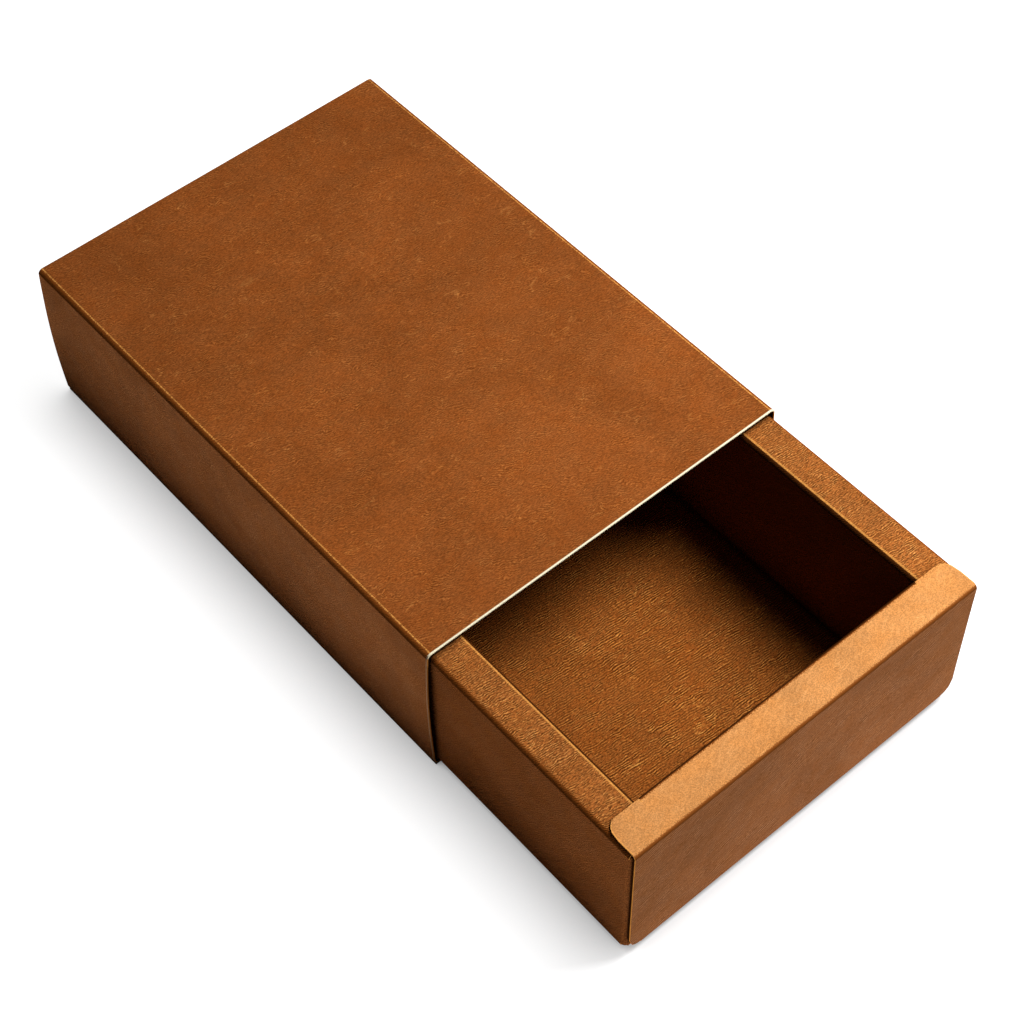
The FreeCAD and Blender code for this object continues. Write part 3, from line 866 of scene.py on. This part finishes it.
def cut_edge(name, core, upright_core, shadow_from, finish):
    """Core of the board where it is cut: layered fibres, coloured apart on level and upright cuts
    by painted light and shade, and near-black on its lower part as painted shadow.
    """
    material, nodes = new_material(name)
    plain = nodes.place()
    layers = nodes.noise(plain, LAYER_GRAIN, 2, 0.6)
    stains = nodes.noise(plain, STAIN_GRAIN, 3, 0.6)
    # Painted light and shade: upright cuts take another core colour than level ones.
    upright = nodes.spread(nodes.measure("upward"), 0.75, 0.2)
    colour = nodes.blend(upright, core, upright_core)
    colour = nodes.scaled(colour, nodes.spread(layers, 0.35, 0.65, 0.86, 1.0))
    colour = nodes.blend(nodes.spread(stains, 0.55, 0.8, 0.0, 0.4), colour, upright_core)
    # Painted shadow: the lower part of the cut goes near-black.
    lining = nodes.spread(nodes.measure("depth"), shadow_from, shadow_from + SHADOW_BLUR)
    colour = nodes.blend(lining, colour, finish.shadow_black)
    nodes.matt(
        colour, nodes.bump(layers, finish.fibre_depth / 2), finish.cut_roughness, finish.gloss)
    return material


def shared(name, make, *settings):
    """The material of that name, made the first time that it is asked for."""
    return bpy.data.materials.get(name) or make(name, *settings)


def kraft_face(name, look, finish):
    return KraftFace(name, look, finish).make()


def kraft(part, finish):
    """Finish of the faces of one kind of board."""
    return shared(f"{part}_kraft", kraft_face, LOOKS[part], finish)


# Settings of a sheet's cut edges: core, core of the upright cuts and where the painted shadow on
# the cut begins.
CUT_EDGES = {
    "sleeve": ("sleeve_core", "mouth_core", "sleeve_shadow_from"),
    "tray": ("tray_core", "upright_core", "tray_lining"),
}


def board_materials(part, finish):
    """Finishes of the faces and of the cut edges of a piece, in the order of their slots."""
    sheet = "sleeve" if part == "sleeve" else "tray"
    settings = [getattr(finish, name) for name in CUT_EDGES[sheet]]
    return [kraft(part, finish), shared(f"{sheet}_cut_edge", cut_edge, *settings, finish)]


def dress(piece, materials, softness, body, *nodes):
    """Give a piece its finish, tie it to its body and hide the nodes that it stands for."""
    for finish in materials:
        piece.data.materials.append(finish)
    soften(piece, softness)
    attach(piece, body)
    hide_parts(*nodes)


# ---------------------------------------------------------------- pieces

def make_sleeve(board, finish):
    """One sheet round four sides, its glue flap lying on the bottom panel."""
    side_run = SLEEVE_HEIGHT - 2 * CREASE_RADIUS
    top_run = 2 * (SLEEVE_SIDE - CREASE_RADIUS)
    pen = Pen((SEAM_EDGE, 0.0), step=board.mesh_step)
    strip = Strip(pen)
    stages = [
        pen.run(SLEEVE_SIDE - CREASE_RADIUS - SEAM_EDGE),
        pen.crease(),
        pen.bow(side_run, SLEEVE_BOW),
        pen.crease(),
        pen.run(top_run),
        pen.crease(),
        pen.bow(side_run - BOARD, SLEEVE_BOW),
        pen.crease(),
    ]
    for rows in stages:
        strip.add_both(rows, SLEEVE_END)
    flap = pen.run(FLAP_EDGE + SLEEVE_SIDE - CREASE_RADIUS)
    slope = board.flap_taper / (flap[-1].travel - flap[0].travel)
    strip.add_both(flap, lambda row: SLEEVE_END - slope * (row.travel - flap[0].travel))

    def place(v, _):
        return Vector((v.y, -v.x, v.z))

    piece = fold_strip("sleeve_wrap", strip, place, board)
    dress(
        piece, board_materials("sleeve", finish), board.mouth_softness, "sleeve",
        "sleeve_top_panel", "sleeve_right_panel", "sleeve_left_panel", "sleeve_bottom_panel",
        "sleeve_glue_flap")


def side_strip(board):
    """Section of a side: up from the floor, over the rim and down inside to the tabs."""
    pen = Pen((TRAY_SIDE - CREASE_RADIUS, 0.0), step=board.mesh_step)
    strip = Strip(pen)
    strip.add_both(pen.crease(), SIDE_WALL_REACH, joined_start=True, joined_sides=True)
    strip.add_both(
        pen.run(SIDE_HEIGHT - 2 * CREASE_RADIUS), SIDE_WALL_REACH, joined_sides=True)
    strip.add_both(pen.crease(), SIDE_RIM_REACH)
    strip.add_both(pen.run(TRAY_SIDE - CAVITY_SIDE - 2 * CREASE_RADIUS), SIDE_RIM_REACH)
    strip.inside_from = pen.travel
    strip.add_both(pen.crease(), SIDE_RIM_REACH)
    strip.add_both(pen.run(SIDE_HEIGHT - CREASE_RADIUS - BOARD), SIDE_INNER_REACH)
    add_lock_tabs(strip, pen, board, board.side_tab_spacing)
    return strip


def end_strip(board):
    """Section of an end: its rim is rounded at both ends and its inner wall is tucked in."""
    pen = Pen((TRAY_END - CREASE_RADIUS, 0.0), step=board.mesh_step)
    strip = Strip(pen)
    foot_reach = END_REACH - board.foot_radius
    strip.add_both(pen.crease(), foot_reach, joined_start=True)
    wall = pen.run(END_HEIGHT - 2 * CREASE_RADIUS)
    strip.add_both(wall, lambda row: rounded_limit(
        END_REACH, board.foot_radius, row.travel - wall[0].travel))
    strip.add_both(pen.crease(), END_REACH)
    rim = pen.run(TRAY_END - CAVITY_END - 2 * CREASE_RADIUS)
    rim_edge = pen.travel + CREASE_RADIUS

    def rim_reach(row):
        return rounded_limit(END_REACH, board.rim_end_radius, rim_edge - row.travel)

    strip.add_both(rim, rim_reach)
    lips = pen.branch().run(board.lip_share * CREASE_RADIUS)
    strip.add(
        lips, (lambda row: -rim_reach(row), -TUCKED_REACH), (TUCKED_REACH, rim_reach))
    strip.inside_from = pen.travel
    strip.add_both(pen.crease(), TUCKED_REACH)
    strip.add_both(pen.run(END_HEIGHT - CREASE_RADIUS - BOARD), TUCKED_REACH)
    add_lock_tabs(strip, pen, board, board.end_tab_spacing)
    return strip


def add_lock_tabs(strip, pen, board, spacing):
    """Two tabs that reach down through the slots of the floor."""
    half_width = board.lock_tab_width / 2
    spans = [
        (middle - half_width, middle + half_width) for middle in (-spacing / 2, spacing / 2)]
    strip.add(pen.run(BOARD - board.lock_tab_recess), *spans)


def corner_strip(board):
    """Section of a corner tab from above: from its tip to the side wall's end."""
    pen = Pen((TAB_TIP, -TAB_FACE), step=board.mesh_step)
    strip = Strip(pen)
    tab = pen.run(TRAY_SIDE - CREASE_RADIUS - TAB_TIP)
    strip.add_both(
        tab, lambda row: rounded_limit(TAB_HALF_HEIGHT, board.tab_radius, row.travel))
    crease = pen.crease()
    crease.reverse()
    strip.add_both(crease, TAB_HALF_HEIGHT, joined_start=True)
    return strip


# The tray's walls, and which way each faces along X or Y.
SIDES = (("right", 1), ("left", -1))
ENDS = (("front", -1), ("back", 1))


def tray_point(x, y, z, is_point):
    """A point of the tray, set at its place, or a direction where is_point is 0."""
    return Vector((x, y + TRAY_MIDDLE * is_point, z + TRAY_BASE * is_point))


def make_wall(where, look, strip, place, board, finish):
    """A hollow wall of the tray, rolled over from its outer to its inner face."""
    piece = fold_strip(f"tray_{where}_wall", strip, place, board)
    dress(
        piece, board_materials(look, finish), board.cut_softness, "tray",
        *(f"tray_{where}_{part}" for part in ("outer_wall", "rim", "inner_wall")))


def make_sides(board, finish):
    for side, sign in SIDES:

        def place(v, is_point, sign=sign):
            return tray_point(v.y * sign, -v.x * sign, v.z, is_point)

        make_wall(side, "side", side_strip(board), place, board, finish)


def make_ends(board, finish):
    for end, sign in ENDS:

        def place(v, is_point, sign=sign):
            return tray_point(v.x * sign, v.y * sign, v.z, is_point)

        make_wall(end, "end", end_strip(board), place, board, finish)


def make_corner_tabs(board, finish):
    middle_z = SIDE_HEIGHT / 2
    for end, y_sign in ENDS:
        for side, x_sign in SIDES:

            def place(v, is_point, x_sign=x_sign, y_sign=y_sign):
                return tray_point(
                    v.y * x_sign, -v.z * y_sign,
                    middle_z * is_point - v.x * x_sign * y_sign, is_point)

            node = f"corner_tab_{end}_{side}"
            piece = fold_strip(f"{node}_fold", corner_strip(board), place, board)
            dress(piece, board_materials("side", finish), board.cut_softness, "tray", node)


def dress_floor(finish):
    """The slotted floor keeps its own mesh and gets its finish."""
    face = kraft("floor", finish)
    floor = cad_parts["tray_floor"]
    for slot in floor.material_slots:
        slot.link = "OBJECT"
        slot.material = face


# ---------------------------------------------------------------- stage

def seen_rays(nodes):
    """1 for rays that show the stage itself: to the camera, in gloss and through glass."""
    rays = nodes.add("ShaderNodeLightPath").outputs
    seen = nodes.math("MAXIMUM", rays["Is Camera Ray"], rays["Is Glossy Ray"])
    return nodes.math("MAXIMUM", seen, rays["Is Transmission Ray"])


def make_floor(stage):
    """A white floor that keeps the box's shadow, with a painted shadow at the box's foot drawn by
    occlusion in its glow.
    """
    half = stage.floor_size / 2
    mesh = bpy.data.meshes.new("studio_floor")
    corners = [(-half, -half, 0), (half, -half, 0), (half, half, 0), (-half, half, 0)]
    mesh.from_pydata(corners, [], [(0, 1, 2, 3)])
    floor = put("studio_floor", mesh)
    paper, nodes = new_material("studio_paper")
    seen = seen_rays(nodes)
    matt = nodes.add("ShaderNodeBsdfDiffuse")
    extra = stage.floor_shown - stage.floor_bounce
    nodes.feed(matt, Color=nodes.math("MULTIPLY_ADD", seen, extra, stage.floor_bounce))
    # Painted shadow: the floor's glow is darkened by occlusion near the box.
    painted_contact_shadow = nodes.add("ShaderNodeAmbientOcclusion", samples=16)
    nodes.feed(painted_contact_shadow, Distance=stage.shadow_reach)
    white = nodes.product(painted_contact_shadow.outputs["AO"], stage.floor_white)
    glow = nodes.feed(nodes.add("ShaderNodeEmission"), Strength=nodes.product(seen, white))
    surface = nodes.add("ShaderNodeAddShader")
    nodes.join(matt.outputs[0], surface.inputs[0])
    nodes.join(glow.outputs[0], surface.inputs[1])
    nodes.join(surface.outputs[0], nodes.tree.nodes["Material Output"].inputs["Surface"])
    mesh.materials.append(paper)


def make_world(stage):
    """Even light all round, and plain white where the stage itself is seen."""
    world = bpy.data.worlds.new("studio")
    bpy.context.scene.world = world
    world.use_nodes = True
    nodes = Nodes(world.node_tree)
    background = world.node_tree.nodes["Background"]
    seen = seen_rays(nodes)
    fill = nodes.product(nodes.math("SUBTRACT", 1.0, seen), stage.fill)
    nodes.feed(background, Color=(1, 1, 1, 1), Strength=nodes.math("ADD", seen, fill))


def make_lamp(stage):
    """One large lamp above the box's front right corner."""
    lamp = bpy.data.lights.new("key", "AREA")
    lamp.energy = stage.key_power
    lamp.size = stage.key_size
    key = put("key", lamp)
    key.location = stage.key_place
    aim = Vector((0.0, TRAY_MIDDLE / 2, 0.0)) - key.location
    key.rotation_euler = aim.to_track_quat("-Z", "Y").to_euler()


SENSOR_WIDTH = 36.0  # millimetres, as the lens


def make_camera(stage):
    """A camera that looks down on the box from its front left corner."""
    azimuth, down, roll = stage.look_azimuth, stage.look_down, stage.look_roll
    ahead = Vector((
        math.sin(azimuth) * math.cos(down), math.cos(azimuth) * math.cos(down),
        -math.sin(down)))
    right = ahead.cross(UP).normalized()
    above = right.cross(ahead)
    rolled_right = right * math.cos(roll) + above * math.sin(roll)
    rolled_above = above * math.cos(roll) - right * math.sin(roll)
    turn = Matrix((rolled_right, rolled_above, -ahead)).transposed().to_4x4()
    camera_data = bpy.data.cameras.new("camera")
    camera_data.sensor_width = SENSOR_WIDTH
    camera_data.lens = stage.lens
    camera = put("camera", camera_data)
    camera.matrix_world = Matrix.Translation(stage.eye) @ turn
    bpy.context.scene.camera = camera


# ---------------------------------------------------------------- add-on

class PieceOperator:
    """What the operators share."""

    bl_options = {"REGISTER", "UNDO"}

    @property
    def board(self):
        return bpy.context.scene.gift_box_board

    @property
    def finish(self):
        return bpy.context.scene.gift_box_finish


class GIFTBOX_OT_sleeve(PieceOperator, bpy.types.Operator):
    """Fold the sleeve and glue its flap"""

    bl_idname = "gift_box.sleeve"
    bl_label = "Sleeve"

    def execute(self, context):
        make_sleeve(self.board, self.finish)
        return {"FINISHED"}


class GIFTBOX_OT_floor(PieceOperator, bpy.types.Operator):
    """Finish the slotted floor of the tray"""

    bl_idname = "gift_box.floor"
    bl_label = "Tray floor"

    def execute(self, context):
        dress_floor(self.finish)
        return {"FINISHED"}


class GIFTBOX_OT_sides(PieceOperator, bpy.types.Operator):
    """Fold the hollow left and right walls"""

    bl_idname = "gift_box.sides"
    bl_label = "Side walls"

    def execute(self, context):
        make_sides(self.board, self.finish)
        return {"FINISHED"}


class GIFTBOX_OT_corner_tabs(PieceOperator, bpy.types.Operator):
    """Fold the corner tabs behind the end walls"""

    bl_idname = "gift_box.corner_tabs"
    bl_label = "Corner tabs"

    def execute(self, context):
        make_corner_tabs(self.board, self.finish)
        return {"FINISHED"}


class GIFTBOX_OT_ends(PieceOperator, bpy.types.Operator):
    """Fold the hollow front and back walls with their round-ended rims"""

    bl_idname = "gift_box.ends"
    bl_label = "End walls"

    def execute(self, context):
        make_ends(self.board, self.finish)
        return {"FINISHED"}


class GIFTBOX_OT_stage(PieceOperator, bpy.types.Operator):
    """Set up the floor, the light and the camera"""

    bl_idname = "gift_box.stage"
    bl_label = "Stage"

    def execute(self, context):
        stage = context.scene.gift_box_stage
        make_floor(stage)
        make_world(stage)
        make_lamp(stage)
        make_camera(stage)
        context.scene.view_settings.view_transform = "Standard"
        return {"FINISHED"}


STEPS = ("sleeve", "floor", "sides", "corner_tabs", "ends", "stage")


class GIFTBOX_PT_panel(bpy.types.Panel):
    """The gift box's pieces and their settings"""

    bl_idname = "GIFTBOX_PT_panel"
    bl_label = "Gift Box"
    bl_space_type = "VIEW_3D"
    bl_region_type = "UI"
    bl_category = "Gift Box"

    def draw(self, context):
        layout = self.layout
        for step in STEPS:
            layout.operator(f"gift_box.{step}")
        for group in ("board", "finish", "stage"):
            settings = getattr(context.scene, f"gift_box_{group}")
            column = layout.column(heading=group.capitalize())
            for name in settings.__annotations__:
                column.prop(settings, name)


GROUPS = {"board": GiftBoxBoard, "finish": GiftBoxFinish, "stage": GiftBoxStage}
CLASSES = (
    *GROUPS.values(), GIFTBOX_OT_sleeve, GIFTBOX_OT_floor, GIFTBOX_OT_sides,
    GIFTBOX_OT_corner_tabs, GIFTBOX_OT_ends, GIFTBOX_OT_stage, GIFTBOX_PT_panel)


def register():
    for cls in CLASSES:
        bpy.utils.register_class(cls)
    for name, group in GROUPS.items():
        setattr(bpy.types.Scene, f"gift_box_{name}", PointerProperty(type=group))


def unregister():
    for name in GROUPS:
        delattr(bpy.types.Scene, f"gift_box_{name}")
    for cls in reversed(CLASSES):
        bpy.utils.unregister_class(cls)


def main():
    register()
    for step in STEPS:
        getattr(bpy.ops.gift_box, step)()


if __name__ == "__main__":
    main()
